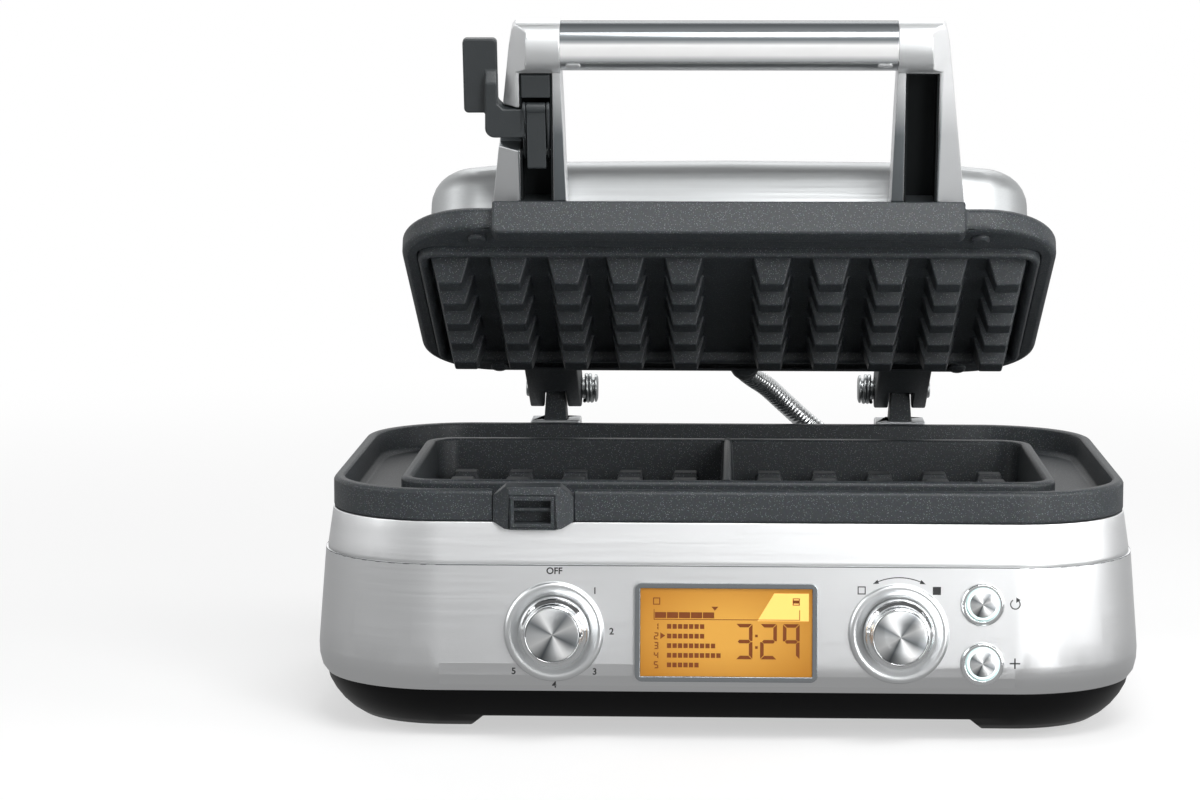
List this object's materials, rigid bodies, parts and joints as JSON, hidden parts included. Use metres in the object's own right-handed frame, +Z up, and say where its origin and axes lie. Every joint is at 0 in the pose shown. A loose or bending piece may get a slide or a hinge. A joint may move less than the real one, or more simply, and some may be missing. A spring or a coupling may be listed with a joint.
{
  "type": "waffle maker",
  "caption": "Countertop waffle maker with a hinged lid, deep square stud plates in a moat, a carrying handle with a latch, dials, push buttons and a lit display.",
  "frame": {"origin": "centre of the footprint on the table", "axes": "+X to the user's right, -Y towards the user who stands at the control panel, +Z up"},
  "size_m": [0.3552, 0.2731, 0.3027],
  "materials": {
    "black_plastic": "moulded, fine grain",
    "rubber_black": "matt",
    "zinc_steel": "zinc plated",
    "brushed_stainless": "brushed",
    "polished_stainless": "fine satin",
    "cast_dark": "speckled non-stick coating",
    "heater_steel": "sheath of the heater",
    "sheet_aluminium": "plain sheet",
    "ceramic": "matt",
    "board_green": "lacquered board",
    "bezel_grey": "satin",
    "lcd_clear": "clear window",
    "lcd_amber": "lit amber display",
    "chrome": "polished",
    "spun_metal": "spun face",
    "button_white": "satin",
    "dark_plastic": "satin",
    "silver_cast": "satin metallic paint",
    "silver_light": "satin",
    "flex_steel": "wound strip"
  },
  "bodies": {
    "base": {"base_tray": "black_plastic", "rubber_feet": "rubber_black", "base_screws": "zinc_steel", "tie_posts": "zinc_steel", "lower_housing": "brushed_stainless", "upper_band": "brushed_stainless", "moat": "cast_dark", "lower_rim": "cast_dark", "lower_plate": "cast_dark", "latch_catch": "dark_plastic", "lower_element": "heater_steel", "heat_shield": "sheet_aluminium", "thermostat": "ceramic", "control_board": "board_green", "power_board": "board_green", "lcd_bezel": "bezel_grey", "lcd_window": "lcd_clear", "lcd_module": "lcd_amber", "menu_dial_ring": "spun_metal", "shade_dial_ring": "spun_metal", "menu_switch": "dark_plastic", "shade_switch": "dark_plastic", "restart_ring": "chrome", "more_ring": "chrome", "button_switches": "dark_plastic", "cord_inlet": "black_plastic", "hinge_foot_left": "silver_light", "hinge_foot_right": "silver_light", "hinge_post_left": "cast_dark", "hinge_post_right": "cast_dark", "hinge_pins": "zinc_steel", "hinge_springs": "zinc_steel", "conduit": "flex_steel", "base_gland": "dark_plastic"},
    "lid": {"upper_plate": "cast_dark", "plate_screws": "cast_dark", "lid_frame": "cast_dark", "lid_cover": "polished_stainless", "upper_element": "heater_steel", "reflector": "sheet_aluminium", "hinge_fork_left": "cast_dark", "hinge_fork_right": "cast_dark", "lid_gland": "dark_plastic", "handle_arm_left": "silver_cast", "handle_arm_right": "silver_cast", "arm_liner_left": "dark_plastic", "arm_liner_right": "dark_plastic", "handle_bar": "chrome", "grip_insert": "silver_light", "latch_block": "dark_plastic", "latch_pin": "zinc_steel"},
    "latch_lever": {"latch_lever": "dark_plastic"},
    "latch_hook": {"latch_hook": "dark_plastic"},
    "menu_knob": {"menu_knob": "chrome", "menu_knob_face": "spun_metal"},
    "shade_knob": {"shade_knob": "chrome", "shade_knob_face": "spun_metal"},
    "restart_button": {"restart_button": "button_white"},
    "more_button": {"more_button": "button_white"}
  },
  "joints": [
    {"name": "lid_hinge", "type": "hinge", "parent": "base", "child": "lid", "pos_m": [0, 0.125, 0.1222], "axis": [-1, 0, 0], "range_deg": [-27, 68], "deforming": ["conduit"]},
    {"name": "latch_swing", "type": "hinge", "parent": "lid", "child": "latch_lever", "pos_m": [-0.0812, -0.07949, 0.2469], "axis": [1, 0, 0], "range_deg": [0, 96.27]},
    {"name": "hook_swing", "type": "hinge", "parent": "latch_lever", "child": "latch_hook", "pos_m": [-0.0812, -0.08892, 0.26562], "axis": [-1, 0, 0], "range_deg": [0, 139.27]},
    {"name": "menu_turn", "type": "hinge", "parent": "base", "child": "menu_knob", "pos_m": [-0.0722, -0.12011, 0.0476], "axis": [0, -0.9968, 0.0798], "range_deg": [-135, 90]},
    {"name": "shade_turn", "type": "hinge", "parent": "base", "child": "shade_knob", "pos_m": [0.0722, -0.12011, 0.0476], "axis": [0, -0.9968, 0.0798], "range_deg": [-140, 140]},
    {"name": "restart_press", "type": "slide", "parent": "base", "child": "restart_button", "axis": [0, 0.9968, -0.0798], "range_m": [0, 0.0015], "stiffness_N_per_m": 600, "springref_m": -0.001},
    {"name": "more_press", "type": "slide", "parent": "base", "child": "more_button", "axis": [0, 0.9968, -0.0798], "range_m": [0, 0.0015], "stiffness_N_per_m": 600, "springref_m": -0.001}
  ]
}
